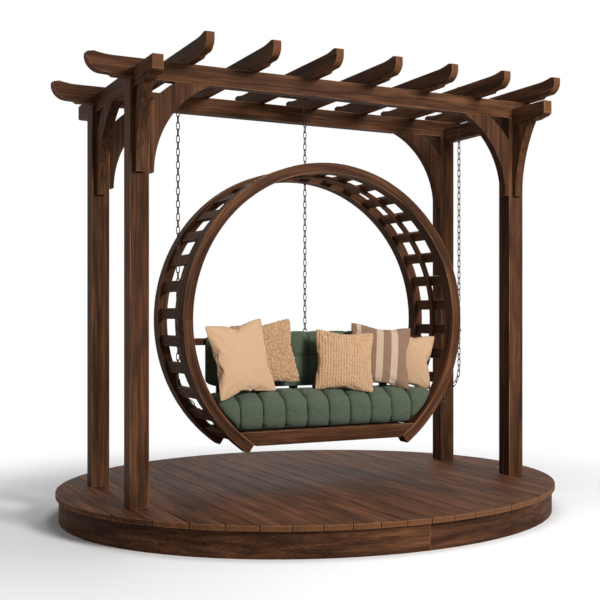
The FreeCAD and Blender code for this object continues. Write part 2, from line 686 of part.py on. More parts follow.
# Seat cushion: rolls between sewn channels, ends drawn in to the curve of the hoops.
cushion_z = apron_top + size("soft_gap")
cushion_top = cushion_z + size("cushion_height")
cushion_radius = ring_inner - size("cushion_side_gap")
cushion_front = swing_front + size("cushion_front_overhang")
cushion_rear = back_front - size("soft_gap")
sections = []
steps_per_roll = 3
cushion_steps = int(size("cushion_roll_count")) * steps_per_roll
for step in range(cushion_steps + 1):
    x = size("cushion_half_width") * (2 * step / cushion_steps - 1)
    dip = size("cushion_roll_depth") * (1 - roll_swell(x, 2 * size("cushion_half_width"), size("cushion_roll_count")))
    low = max(cushion_z, ring_z - math.sqrt(cushion_radius ** 2 - x ** 2))
    end_fall = 24 * (x / size("cushion_half_width")) ** 6
    high = max(cushion_top - dip - end_fall, low + 16)
    squeeze = min(1, (high - low) / size("cushion_height"))
    sections.append(cushion_section(x, cushion_front + dip + 20 * (1 - squeeze), cushion_rear, low, high,
                                    size("cushion_front_round") * squeeze, size("cushion_crown") * squeeze))
seat_cushion = doc.addObject("Part::Feature", "seat_cushion")
seat_cushion.Shape = facet_loft(sections)
keep(seat_cushion, "seat_cushion")


def back_section(x, y_front, y_rear, z_low, z_high, seam_dip):
    """One cut through the back cushion: flat back, two bowed rolls in front above each other."""
    seam_z = z_low + (z_high - z_low) * 0.58
    edge = (y_rear - y_front) * 0.3
    low_front = Vector(x, y_front + edge, z_low)
    low_bow = Vector(x, y_front, (z_low + seam_z) / 2)
    seam = Vector(x, y_front + seam_dip, seam_z)
    high_bow = Vector(x, y_front, (z_high + seam_z) / 2)
    high_front = Vector(x, y_front + edge, z_high - edge)
    top_bow = Vector(x, (y_front + edge + y_rear) / 2, z_high)
    high_rear = Vector(x, y_rear, z_high - edge)
    low_rear = Vector(x, y_rear, z_low)
    return ([low_rear] + chords(low_front, low_bow, seam, 3) + chords(seam, high_bow, high_front, 3)
            + chords(high_front, top_bow, high_rear, 2) + [high_rear])


# Back cushion: stands on the seat cushion against the back slats, with one level seam.
back_z = cushion_top + size("cushion_crown") + size("soft_gap")
back_y = cushion_rear - size("back_cushion_thickness")
sections = []
back_steps = int(size("back_cushion_roll_count")) * steps_per_roll
for step in range(back_steps + 1):
    x = size("back_cushion_half_width") * (2 * step / back_steps - 1)
    dip = size("cushion_roll_depth") * (1 - roll_swell(x, 2 * size("back_cushion_half_width"),
                                                       size("back_cushion_roll_count")))
    end_fall = 24 * (x / size("back_cushion_half_width")) ** 8
    sections.append(back_section(x, back_y + dip * 0.8 + end_fall * 0.6, cushion_rear, back_z + end_fall,
                                 back_z + size("back_cushion_height") - dip - end_fall, size("cushion_roll_depth")))
back_cushion = doc.addObject("Part::Feature", "back_cushion")
back_cushion.Shape = facet_loft(sections)
keep(back_cushion, "back_cushion")


def pillow(side, thickness, pull_in):
    """A square scatter cushion: crowned faces, sides drawn in between its four corners."""
    half = side / 2
    corners = [Vector(x, 0, z) * half for x, z in ((-1, -1), (1, -1), (1, 1), (-1, 1))]
    outline = []
    for index in range(4):
        middle = (corners[index] + corners[(index + 1) % 4]) / 2
        outline.extend(chords(corners[index], middle * (1 - pull_in / half), corners[(index + 1) % 4], 6))
    sections = []
    for step in range(-3, 4):
        share = max(0.38, (1 - abs(step / 3) ** 2.4) ** 0.55)
        sections.append([point * share + Vector(0, thickness * step / 6, 0) for point in outline])
    return facet_loft(sections)


# Five scatter cushions lean on the back cushion and on each other.
# Each row: name, width share, middle x, middle y, height above the cushion, turn, lean, tip.
pillow_rows = (
    ("pillow_plain_left", 1.02, -588, -186, 262, 18, 12, -5.5),
    ("pillow_rough_left", 0.915, -362, -42, 256, -6, 8, -7),
    ("pillow_rough_middle", 0.87, 162, -158, 236, -12, 12, 4.3),
    ("pillow_striped", 0.91, 465, -108, 249, -14, 10, 5.3),
    ("pillow_plain_right", 0.8, 698, -66, 225, -24, 8, 7),
)
for name, share, x, y, rise, turn, lean, tip in pillow_rows:
    scatter = doc.addObject("Part::Feature", name)
    scatter.Shape = pillow(size("pillow_size") * share, size("pillow_thickness"), size("pillow_pull_in"))
    attitude = Rotation(Vector(0, 0, 1), turn) * Rotation(Vector(1, 0, 0), -lean) * Rotation(Vector(0, 1, 0), tip)
    scatter.Placement = Placement(Vector(x, y, cushion_top + rise), attitude)
    # It is lowered until its lowest corner rests on the seat cushion.
    for settling in range(6):
        fall = scatter.Shape.distToShape(seat_cushion.Shape)[0] - size("soft_gap")
        scatter.Placement = Placement(scatter.Placement.Base - Vector(0, 0, fall), attitude)
    print(name, "rests", round(scatter.Shape.distToShape(seat_cushion.Shape)[0], 2), "mm above the cushion")
    keep(scatter, name)

doc.recompute()
for item in doc.Objects:
    if "Invalid" in item.State or "Error" in item.State:
        raise ValueError("failed feature: " + item.Name)
for piece in nodes:
    if piece.Shape.isNull() or not piece.Shape.isValid():
        raise ValueError("bad shape: " + piece.Label)

os.makedirs("parts", exist_ok=True)
for piece in nodes:
    piece.Shape.exportStep("parts/" + piece.Label + ".step")
print("nodes", len(nodes))
print("levels", round(upper_pivot_z), round(lower_pivot_z), round(ring_z), round(cushion_top))
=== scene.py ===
# Round porch swing seat under a small pergola on an oval deck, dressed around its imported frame.
# Metres, +Z up, front towards -Y. Sections follow the object from the deck up and then down the chains.
import math
import random

import bmesh
import bpy
import numpy as np
from mathutils import Matrix, Vector, noise
from mathutils.bvhtree import BVHTree


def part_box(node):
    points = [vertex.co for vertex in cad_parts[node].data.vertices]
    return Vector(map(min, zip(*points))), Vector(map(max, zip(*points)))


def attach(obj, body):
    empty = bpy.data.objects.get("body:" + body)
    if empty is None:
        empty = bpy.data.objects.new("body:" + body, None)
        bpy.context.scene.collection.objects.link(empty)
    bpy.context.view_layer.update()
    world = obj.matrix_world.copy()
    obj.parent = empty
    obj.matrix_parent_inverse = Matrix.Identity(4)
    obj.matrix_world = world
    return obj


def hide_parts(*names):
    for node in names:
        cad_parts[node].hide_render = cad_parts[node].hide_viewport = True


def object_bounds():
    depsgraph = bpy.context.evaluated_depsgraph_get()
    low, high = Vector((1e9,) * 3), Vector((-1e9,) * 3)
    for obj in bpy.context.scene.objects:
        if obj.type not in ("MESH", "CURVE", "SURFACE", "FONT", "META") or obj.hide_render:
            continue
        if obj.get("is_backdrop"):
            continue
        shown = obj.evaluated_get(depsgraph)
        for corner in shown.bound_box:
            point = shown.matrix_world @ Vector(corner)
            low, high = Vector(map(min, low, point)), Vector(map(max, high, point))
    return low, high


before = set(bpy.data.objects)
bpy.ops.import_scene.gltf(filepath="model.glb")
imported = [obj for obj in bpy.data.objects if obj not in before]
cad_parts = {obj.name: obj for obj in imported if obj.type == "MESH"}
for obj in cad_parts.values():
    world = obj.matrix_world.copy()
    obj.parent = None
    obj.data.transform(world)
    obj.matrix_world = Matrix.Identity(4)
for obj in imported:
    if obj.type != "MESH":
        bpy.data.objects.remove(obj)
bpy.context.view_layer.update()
scene = bpy.context.scene


# Small helpers for node trees and numbers, used throughout.
def feed(tree, node, inputs):
    """Joins each input to the socket given for it, or sets it to the value given."""
    for key, value in inputs.items():
        if isinstance(value, bpy.types.NodeSocket):
            tree.links.new(value, node.inputs[key])
        else:
            node.inputs[key].default_value = value


def wired(tree, kind, inputs=None, **settings):
    """A new node with its settings made and its inputs fed."""
    node = tree.nodes.new(kind)
    for name, value in settings.items():
        setattr(node, name, value)
    feed(tree, node, inputs or {})
    return node


def ramped(tree, value, stops, interpolation="LINEAR"):
    """A colour for each value, from stops of (position, colour) in rising order."""
    ramp = wired(tree, "ShaderNodeValToRGB", {"Fac": value})
    ramp.color_ramp.interpolation = interpolation
    elements = ramp.color_ramp.elements
    elements[0].position = stops[0][0]
    elements[1].position = stops[-1][0]
    for position, _ in stops[1:-1]:
        elements.new(position)
    for element, (_, colour) in zip(elements, stops):
        element.color = (*colour, 1)
    return ramp.outputs["Color"]


def stretched_noise(tree, vector, stretch, detail, rough=0.5, warp=0.0):
    """Noise over coordinates that are first scaled along each axis."""
    scaled = wired(tree, "ShaderNodeMapping", {"Vector": vector, "Scale": stretch})
    pattern = wired(tree, "ShaderNodeTexNoise", {"Vector": scaled.outputs[0], "Scale": 1.0, "Detail": detail,
                                                 "Roughness": rough, "Distortion": warp})
    return pattern.outputs["Fac"]


def clamped(value):
    """The value, kept between 0 and 1."""
    return max(0.0, min(1.0, value))


def noise_value(a, b, c):
    """Smooth noise at three numbers."""
    return noise.noise(Vector((a, b, c)))


# Camera: level, from the front left, a little above the seat.
# Its place and lens come from fitting the posts, the deck's ends and the hoop to the photograph.
camera_data = bpy.data.cameras.new("photo_camera")
camera_data.sensor_width = 36.0
camera_data.lens = 60.64
camera_data.shift_y = 0.0236
camera_data.clip_end = 60.0
camera = bpy.data.objects.new("photo_camera", camera_data)
camera.location = (-3.077, -5.981, 1.280)
camera.rotation_euler = (math.radians(90), 0, math.radians(-26.564))
scene.collection.objects.link(camera)
scene.camera = camera

# Studio: a pale floor that fades into a white surround, one broad soft key from the front right,
# a weak fill from the left, a top light and a weak light from behind.
scene.view_settings.view_transform = "Standard"
AMBIENT_LIGHT = 0.165
SEEN_WHITE = 1.0
FLOOR_RADIUS = 7.0
FADE_FROM = 1.9
FADE_TO = 3.6


def seen_directly(tree, object_light, seen_light):
    """Strength seen_light for the camera, in gloss and through glass, and object_light for all else."""
    path = wired(tree, "ShaderNodeLightPath")
    added = path.outputs["Is Camera Ray"]
    for ray in ("Is Glossy Ray", "Is Transmission Ray"):
        either = wired(tree, "ShaderNodeMath", {0: added, 1: path.outputs[ray]}, operation="MAXIMUM")
        added = either.outputs[0]
    strength = wired(tree, "ShaderNodeMapRange",
                     {"Value": added, "To Min": object_light, "To Max": seen_light})
    return strength.outputs["Result"]


world = bpy.data.worlds.new("white_room")
scene.world = world
world.use_nodes = True
feed(world.node_tree, world.node_tree.nodes["Background"],
     {"Color": (1, 1, 1, 1), "Strength": seen_directly(world.node_tree, AMBIENT_LIGHT, SEEN_WHITE)})

floor_mesh = bpy.data.meshes.new("floor")
floor_shape = bmesh.new()
bmesh.ops.create_circle(floor_shape, cap_ends=True, segments=96, radius=FLOOR_RADIUS)
floor_shape.to_mesh(floor_mesh)
floor_shape.free()
floor = bpy.data.objects.new("floor", floor_mesh)
scene.collection.objects.link(floor)
floor_paint = bpy.data.materials.new("white_floor")
floor_paint.use_nodes = True
floor_tree = floor_paint.node_tree
floor_tree.nodes.clear()
matte = wired(floor_tree, "ShaderNodeBsdfDiffuse", {"Color": (0.93, 0.93, 0.93, 1)})
clear = wired(floor_tree, "ShaderNodeBsdfTransparent")
place = wired(floor_tree, "ShaderNodeTexCoord")
distance = wired(floor_tree, "ShaderNodeVectorMath", {0: place.outputs["Object"]}, operation="LENGTH")
fade = wired(floor_tree, "ShaderNodeMapRange",
             {"Value": distance.outputs["Value"], "From Min": FADE_FROM, "From Max": FADE_TO},
             interpolation_type="SMOOTHSTEP")
blend = wired(floor_tree, "ShaderNodeMixShader",
              {"Fac": fade.outputs["Result"], 1: matte.outputs[0], 2: clear.outputs[0]})
wired(floor_tree, "ShaderNodeOutputMaterial", {"Surface": blend.outputs[0]})
floor.data.materials.append(floor_paint)
floor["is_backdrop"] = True

for name, place_at, aim_at, width, watts in (("key_light", (2.0, -6.4, 4.2), (0, 0, 1.2), 2.2, 510),
                                             ("fill_light", (-5.0, -3.4, 3.4), (0, 0, 1.2), 3.0, 18),
                                             ("top_light", (0.6, 0.2, 6.4), (0, 0, 0), 3.4, 165),
                                             ("back_light", (2.5, 5.5, 3.6), (0, 0, 1.0), 3.0, 60)):
    lamp = bpy.data.lights.new(name, "AREA")
    lamp.shape = "DISK"
    lamp.size = width
    lamp.energy = watts
    lamp_object = bpy.data.objects.new(name, lamp)
    lamp_object.location = place_at
    lamp_object.rotation_euler = (Vector(aim_at) - Vector(place_at)).to_track_quat("-Z", "Y").to_euler()
    scene.collection.objects.link(lamp_object)

# Deck: twenty-two planed boards laid front to back and cut to one oval, on hidden joists.
# Every timber is the sawn piece, arrises taken off and painted pale: part worn stain, part painted highlight.
MERGED_WITHIN = 1e-5
FLAT_WITHIN = math.radians(0.4)
SHARP_FROM = math.radians(22)


def islands(bm):
    """The separate closed pieces of a mesh, each a list of vertices."""
    left = set(bm.verts)
    found = []
    while left:
        first = min(left, key=lambda v: v.index)
        left.discard(first)
        piece = [first]
        for vert in piece:
            for edge in vert.link_edges:
                other = edge.other_vert(vert)
                if other in left:
                    left.discard(other)
                    piece.append(other)
        found.append(piece)
    return found


def welded(node):
    """A merged copy of a node's mesh, with its flat faces whole again."""
    bm = bmesh.new()
    bm.from_mesh(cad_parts[node].data)
    bmesh.ops.remove_doubles(bm, verts=bm.verts, dist=MERGED_WITHIN)
    bmesh.ops.dissolve_limit(bm, angle_limit=FLAT_WITHIN, verts=bm.verts, edges=bm.edges)
    bm.verts.index_update()
    return bm


def evaluated_mesh(thing):
    """A new mesh of an object as its modifiers leave it."""
    return bpy.data.meshes.new_from_object(thing.evaluated_get(bpy.context.evaluated_depsgraph_get()))


def new_piece(name, bm, material, body, node_names, smooth_angle=24):
    """Turns a finished mesh into a piece that rides on a body and stands for its nodes."""
    mesh = bpy.data.meshes.new(name)
    bm.to_mesh(mesh)
    bm.free()
    mesh.polygons.foreach_set("use_smooth", [True] * len(mesh.polygons))
    mesh.set_sharp_from_angle(angle=math.radians(smooth_angle))
    mesh.materials.append(material)
    piece = bpy.data.objects.new(name, mesh)
    scene.collection.objects.link(piece)
    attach(piece, body)
    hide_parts(*node_names)
    return piece


# The axis that the grain of each straight-grained timber runs along, by the material's name.
GRAIN_AXIS = {}


def timber(node, material, body="pergola", arris=0.0035, shortest=0.009, ends=True):
    """A sawn node as a finished timber: arrises eased and marked pale for wear and painted highlight, each
    stick with its own grain.
    """
    bm = welded(node)
    stick = bm.verts.layers.float.new("stick")
    wear_and_highlight = bm.faces.layers.float.new("wear_and_highlight")
    cut = bm.faces.layers.float.new("cut")
    along = GRAIN_AXIS.get(material.name)
    if ends and along is not None:
        for face in bm.faces:
            face.normal_update()
            face[cut] = clamped((abs(face.normal[along]) - 0.5) / 0.3)
    shuffled = random.Random(len(node) * 31 + sum(map(ord, node)))
    for piece in islands(bm):
        number = shuffled.random()
        for vert in piece:
            vert[stick] = number
    sharp = [edge for edge in bm.edges if edge.is_manifold and edge.calc_length() > shortest
             and edge.calc_face_angle(0) > SHARP_FROM]
    eased = bmesh.ops.bevel(bm, geom=sharp, offset=arris, segments=2, profile=0.6, affect="EDGES",
                            clamp_overlap=False)
    # Pale paint on the eased arrises: partly worn stain, partly a painted highlight.
    for face in eased["faces"]:
        face[wear_and_highlight] = 1.0
    new_piece(node + "_timber", bm, material, body, [node])


# Walnut stain from the dark of the grain to its pale streaks, by the value of the grain pattern.
STAIN = ((0.36, (0.014, 0.0060, 0.0034)),
         (0.52, (0.070, 0.0295, 0.0145)),
         (0.70, (0.185, 0.076, 0.034)))
END_GRAIN = (0.17, 0.072, 0.030, 1)
# Pale colour of the eased arrises: partly worn stain, partly a painted highlight.
PALE_WEAR_AND_HIGHLIGHT = (0.36, 0.185, 0.095, 1)
SHIFT_BY_STICK = (37.0, 11.0, 5.0)
GRAIN_SHARE = 0.52


def walnut(name, grain="X", centre=(0, 0, 0), tint=(1, 1, 1), stretch=22.0):
    """Dark stained timber. Grain runs along an axis, or round Y or Z for bent pieces."""
    material = bpy.data.materials.new(name)
    if len(grain) == 1:
        GRAIN_AXIS[material.name] = "XYZ".index(grain)
    material.use_nodes = True
    tree = material.node_tree
    place = wired(tree, "ShaderNodeTexCoord")
    moved = wired(tree, "ShaderNodeVectorMath", {0: place.outputs["Object"], 1: centre}, operation="SUBTRACT")
    split = wired(tree, "ShaderNodeSeparateXYZ", {0: moved.outputs[0]})
    axes = {"X": "XYZ", "Y": "YXZ", "Z": "ZXY", "ROUND_Y": "XZY", "ROUND_Z": "XYZ"}[grain]
    first, second, third = (split.outputs[axis] for axis in axes)
    if grain.startswith("ROUND"):
        turn = wired(tree, "ShaderNodeMath", {0: second, 1: first}, operation="ARCTAN2")
        flat = wired(tree, "ShaderNodeCombineXYZ", {0: first, 1: second})
        reach = wired(tree, "ShaderNodeVectorMath", {0: flat.outputs[0]}, operation="LENGTH")
        first = turn.outputs[0]
        second = reach.outputs["Value"]
    joined = wired(tree, "ShaderNodeCombineXYZ", {0: first, 1: second, 2: third})
    stick = wired(tree, "ShaderNodeAttribute", attribute_name="stick")
    shift = wired(tree, "ShaderNodeVectorMath", {0: SHIFT_BY_STICK, "Scale": stick.outputs["Fac"]},
                  operation="SCALE")
    grained = wired(tree, "ShaderNodeVectorMath", {0: joined.outputs[0], 1: shift.outputs[0]},
                    operation="ADD")

    def grain_noise(along, across, *shape):
        return stretched_noise(tree, grained.outputs[0], (along, across, across), *shape)

    broad = grain_noise(1.6, stretch, 4, 0.55, 0.6)
    fine = grain_noise(4.0, stretch * 9, 5, 0.62)
    patch = grain_noise(1.3, 5.0, 3, 0.5)
    half = wired(tree, "ShaderNodeMath", {0: broad, 1: GRAIN_SHARE}, operation="MULTIPLY")
    total = wired(tree, "ShaderNodeMath", {0: fine, 1: GRAIN_SHARE, 2: half.outputs[0]},
                  operation="MULTIPLY_ADD")
    stained = ramped(tree, total.outputs[0], [(position, [c * t for c, t in zip(colour, tint)])
                                              for position, colour in STAIN])
    patchy = wired(tree, "ShaderNodeMapRange", {"Value": patch, "From Min": 0.3, "From Max": 0.7,
                                                "To Min": 0.58, "To Max": 1.42})
    toned = wired(tree, "ShaderNodeVectorMath", {0: stained, "Scale": patchy.outputs["Result"]},
                  operation="SCALE")
    cut = wired(tree, "ShaderNodeAttribute", attribute_name="cut")
    sawn = wired(tree, "ShaderNodeMath", {0: cut.outputs["Fac"], 1: 0.6}, operation="MULTIPLY")
    ended = wired(tree, "ShaderNodeMix", {"Factor": sawn.outputs[0], "A": toned.outputs[0], "B": END_GRAIN},
                  data_type="RGBA")
    # Pale paint along the eased arrises, broken up by the fine grain: partly wear, partly a painted
    # highlight.
    wear_and_highlight = wired(tree, "ShaderNodeAttribute", attribute_name="wear_and_highlight")
    broken_pale_edge = wired(tree, "ShaderNodeMapRange", {"Value": fine, "From Min": 0.40, "From Max": 0.62,
                                                "To Max": 0.78})
    amount = wired(tree, "ShaderNodeMath", {0: wear_and_highlight.outputs["Fac"], 1: broken_pale_edge.outputs["Result"]},
                   operation="MULTIPLY")
    finish = wired(tree, "ShaderNodeMix", {"Factor": amount.outputs[0], "A": ended.outputs["Result"],
                                           "B": PALE_WEAR_AND_HIGHLIGHT}, data_type="RGBA")
    gloss = wired(tree, "ShaderNodeMapRange", {"Value": fine, "To Min": 0.50, "To Max": 0.74})
    relief = wired(tree, "ShaderNodeBump", {"Height": total.outputs[0], "Strength": 0.35, "Distance": 0.0016})
    feed(tree, tree.nodes["Principled BSDF"],
         {"Base Color": finish.outputs["Result"], "Roughness": gloss.outputs["Result"],
          "Specular IOR Level": 0.05, "Normal": relief.outputs["Normal"]})
    return material


walnut_y = walnut("walnut_grain_front_to_back", "Y")
walnut_deck = walnut("walnut_deck_boards", "Y", tint=(0.98, 0.93, 0.90), stretch=26.0)
walnut_x = walnut("walnut_grain_left_to_right", "X")
walnut_z = walnut("walnut_grain_upright", "Z")
walnut_brace = walnut("walnut_wide_boards", "Z", stretch=60.0)
timber("deck_boards", walnut_deck, arris=0.003)
timber("deck_joists", walnut_x)

# Fascia: a kerfed band in four lengths bent round the deck's rim, set back under the boards' edge.
# Its grain follows the bend, so its pattern runs round the deck's centre.
walnut_round_deck = walnut("walnut_bent_fascia", "ROUND_Z", tint=(0.86, 0.84, 0.84), stretch=30.0)
for quarter in ("front_left", "front_right", "rear_left", "rear_right"):
    timber("fascia_" + quarter, walnut_round_deck, arris=0.002)

# Posts: four square sticks slotted at the top for the side beams and for the beams above.
for corner in ("front_left", "front_right", "rear_left", "rear_right"):
    timber("post_" + corner, walnut_z, arris=0.005)

# Beams, rafters and the chain block: planed stock with shaped tails, laid crosswise over each other.
for node in ("front_beam", "rear_beam"):
    timber(node, walnut_x, arris=0.004)
for node in ("side_beam_left", "side_beam_right"):
    timber(node, walnut_y, arris=0.004)
for number in range(1, 8):
    timber("rafter_%d" % number, walnut_y, arris=0.004)
timber("chain_block", walnut_x, arris=0.003)

# Curved braces, sawn from wide boards with upright grain, stiffen the posts under the beams.
for node in ("brace_front_left", "brace_front_right", "brace_rear_left", "brace_rear_right",
             "tail_brace_left", "tail_brace_right", "side_brace_left"):
    timber(node, walnut_brace, arris=0.004, shortest=0.02, ends=False)

# The seat's hoops: two thick laminated rings with square cut ends, and a slim rib inside the slats.
# Their grain follows the bend round the hoop's centre.
hoop_low, hoop_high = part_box("front_ring")
hoop_centre = ((hoop_low.x + hoop_high.x) / 2, 0, hoop_high.z - (hoop_high.x - hoop_low.x) / 2)
walnut_hoop = walnut("walnut_bent_hoops", "ROUND_Y", centre=hoop_centre, stretch=24.0)
for node in ("front_ring", "rear_ring"):
    timber(node, walnut_hoop, body="seat", arris=0.005)
timber("middle_rib", walnut_hoop, body="seat", arris=0.003)

# Slats between the hoops, the apron, rails, ledgers, seat boards and back slats carry the cushions.
for node, material in (("ring_slats", walnut_y), ("front_apron", walnut_x), ("rear_rail", walnut_x),
                       ("seat_ledgers", walnut_x), ("seat_boards", walnut_y), ("back_rail", walnut_x),
                       ("back_slats", walnut_z)):
    timber(node, material, body="seat", arris=0.003)

# Chains: welded iron links of round wire, each turned a quarter to the next.
# Their places come from the frame's own links, and a node tree sets one round-wire link at each.
# A link is measured along the middle of its wire, and its rounding stays just under half its width.
WIRE = 0.006
LINK_LENGTH = 0.0453
LINK_WIDTH = 0.018
LINK_ROUNDING = 0.498


def link_axes(points):
    """Centre and long, wide and thin directions of a link or an eye, from its corners."""
    spread = points - points.mean(0)
    _, _, rows = np.linalg.svd(spread, full_matrices=False)
    long_way, wide_way, thin_way = (Vector(row) for row in rows)
    if thin_way.dot(long_way.cross(wide_way)) < 0:
        thin_way = -thin_way
    measured = spread @ rows.T
    offset = (measured.max(0) + measured.min(0)) / 2 @ rows
    return Vector(points.mean(0) + offset), long_way, wide_way, thin_way


def pieces_of(node):
    """The corners of each separate piece of a node."""
    bm = welded(node)
    found = [np.array([vert.co for vert in piece], float) for piece in islands(bm)]
    bm.free()
    return found


def link_tree():
    """Node tree that sets a rounded link of wire at each point, turned as the point says."""
    tree = bpy.data.node_groups.new("welded_links", "GeometryNodeTree")
    face = tree.interface
    face.new_socket("Places", in_out="INPUT", socket_type="NodeSocketGeometry")
    for label, value in (("Wire Radius", WIRE / 2), ("Link Length", LINK_LENGTH), ("Link Width", LINK_WIDTH)):
        socket = face.new_socket(label, in_out="INPUT", socket_type="NodeSocketFloat")
        socket.default_value = value
    face.new_socket("Iron", in_out="INPUT", socket_type="NodeSocketMaterial")
    face.new_socket("Links", in_out="OUTPUT", socket_type="NodeSocketGeometry")
    given = wired(tree, "NodeGroupInput").outputs
    outline = wired(tree, "GeometryNodeCurvePrimitiveQuadrilateral",
                    {"Width": given["Link Width"], "Height": given["Link Length"]})
    bend = wired(tree, "ShaderNodeMath", {0: given["Link Width"], 1: LINK_ROUNDING}, operation="MULTIPLY")
    rounded = wired(tree, "GeometryNodeFilletCurve",
                    {"Curve": outline.outputs["Curve"], "Count": 3, "Radius": bend.outputs[0]}, mode="POLY")
    wire = wired(tree, "GeometryNodeCurvePrimitiveCircle", {"Resolution": 6, "Radius": given["Wire Radius"]})
    swept = wired(tree, "GeometryNodeCurveToMesh",
                  {"Curve": rounded.outputs["Curve"], "Profile Curve": wire.outputs["Curve"]})
    turn = wired(tree, "GeometryNodeInputNamedAttribute", {"Name": "turn"}, data_type="FLOAT_VECTOR")
    placed = wired(tree, "GeometryNodeInstanceOnPoints",
                   {"Points": given["Places"], "Instance": swept.outputs["Mesh"],
                    "Rotation": turn.outputs["Attribute"]})
    real = wired(tree, "GeometryNodeRealizeInstances", {"Geometry": placed.outputs["Instances"]})
    painted = wired(tree, "GeometryNodeSetMaterial",
                    {"Geometry": real.outputs["Geometry"], "Material": given["Iron"]})
    wired(tree, "NodeGroupOutput", {"Links": painted.outputs["Geometry"]})
    return tree


def iron(name, dark=(0.018, 0.012, 0.009), rust=(0.085, 0.045, 0.026), metal=0.75):
    """Bronzed iron: dark metal with brown bloom in patches and fine pitting."""
    material = bpy.data.materials.new(name)
    material.use_nodes = True
    tree = material.node_tree
    place = wired(tree, "ShaderNodeTexCoord").outputs["Object"]
    bloom = wired(tree, "ShaderNodeTexNoise", {"Vector": place, "Scale": 75, "Detail": 5}).outputs["Fac"]
    pits = wired(tree, "ShaderNodeTexNoise", {"Vector": place, "Scale": 420}).outputs["Fac"]
    rough = wired(tree, "ShaderNodeMapRange", {"Value": bloom, "To Min": 0.36, "To Max": 0.7})
    relief = wired(tree, "ShaderNodeBump", {"Height": pits, "Strength": 0.3, "Distance": 0.0006})
    feed(tree, tree.nodes["Principled BSDF"],
         {"Base Color": ramped(tree, bloom, ((0.42, dark), (0.66, rust))), "Metallic": metal,
          "Roughness": rough.outputs["Result"], "Normal": relief.outputs["Normal"]})
    return material


dark_iron = iron("bronzed_iron")
welded_links = link_tree()
iron_input = next(socket.identifier for socket in welded_links.interface.items_tree
                  if socket.in_out == "INPUT" and socket.name == "Iron")
for node, body in (("chain_left", "side_chains"), ("chain_right", "side_chains"),
                   ("chain_back", "back_chain"), ("chain_end_left", "seat"), ("chain_end_right", "seat")):
    axes = [link_axes(points) for points in pieces_of(node)]
    places = bpy.data.meshes.new(node + "_places")
    places.from_pydata([centre for centre, _, _, _ in axes], [], [])
    turn = places.attributes.new("turn", "FLOAT_VECTOR", "POINT")
    for index, (_, long_way, wide_way, thin_way) in enumerate(axes):
        turn.data[index].vector = Matrix((wide_way, long_way, -thin_way)).transposed().to_euler()
    chain = bpy.data.objects.new(node + "_links", places)
    scene.collection.objects.link(chain)
    strung = chain.modifiers.new("links", "NODES")
    strung.node_group = welded_links
    strung[iron_input] = dark_iron
    made = evaluated_mesh(chain)
    made.polygons.foreach_set("use_smooth", [True] * len(made.polygons))
    chain.modifiers.clear()
    chain.data = made
    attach(chain, body)
    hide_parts(node)

# Eye bolts and hooks: forged rings on round shanks, with zinc washers and nuts above the beams.
# Each is turned round its own axis, as on a lathe, and set where the frame's eye is.
EYE_RADIUS = 0.0135
SHANK_RADIUS = 0.005
SHANK_SUNK = 0.001
SHANK_BEVEL = 0.001
RING_SIDES = 10
SHANK_SIDES = 16
NUT_HOLE = 0.0055
NUT_BEVEL = 0.0012
NUT_SIDES = 6
WASHER_BELOW = 0.004


def lathe(bm, profile, matrix, steps=24):
    """A closed ring or shaft turned from a closed profile of (radius, height) round local Z."""
    rings = []
    for step in range(steps):
        angle = 2 * math.pi * step / steps
        rings.append([bm.verts.new(matrix @ Vector((r * math.cos(angle), r * math.sin(angle), z)))
                      for r, z in profile])
    for step in range(steps):
        near = rings[step]
        far = rings[(step + 1) % steps]
        for index in range(len(profile)):
            after = (index + 1) % len(profile)
            bm.faces.new((near[index], far[index], far[after], near[after]))


def cleaned(bm):
    """The mesh with the points on its turning axis merged and its faces turned outwards."""
    bmesh.ops.remove_doubles(bm, verts=bm.verts, dist=1e-6)
    bmesh.ops.dissolve_degenerate(bm, dist=1e-7, edges=bm.edges)
    bmesh.ops.recalc_face_normals(bm, faces=bm.faces)
    return bm


def frame_at(centre, upward):
    """A matrix whose Z runs upward from that centre."""
    return Matrix.Translation(centre) @ upward.to_track_quat("Z", "X").to_matrix().to_4x4()


eye_ring = [(EYE_RADIUS + WIRE / 2 * math.cos(turn), WIRE / 2 * math.sin(turn))
            for turn in (2 * math.pi * step / RING_SIDES for step in range(RING_SIDES))]
for node, body in (("beam_eye_bolts", "pergola"), ("seat_eye_bolts", "seat"), ("chain_end_hooks", "seat")):
    bm = bmesh.new()
    for points in pieces_of(node):
        centre, long_way, wide_way, thin_way = link_axes(points)
        along = (points - np.array(centre)) @ np.array(long_way)
        across = np.abs((points - np.array(centre)) @ np.array(wide_way))
        if across[along > 0].max() > across[along < 0].max():
            long_way = -long_way
            along = -along
        eye_at = centre + long_way * (along.min() + EYE_RADIUS + WIRE / 2)
        lathe(bm, eye_ring, frame_at(eye_at, thin_way))
        root = EYE_RADIUS - SHANK_SUNK
        reach = along.max() - along.min() - EYE_RADIUS - WIRE / 2
        shank = [(0, root), (SHANK_RADIUS, root), (SHANK_RADIUS, reach - SHANK_BEVEL),
                 (SHANK_RADIUS - SHANK_BEVEL, reach), (0, reach)]
        lathe(bm, shank, frame_at(eye_at, long_way), SHANK_SIDES)
    new_piece(node + "_forged", cleaned(bm), dark_iron, body, [node])

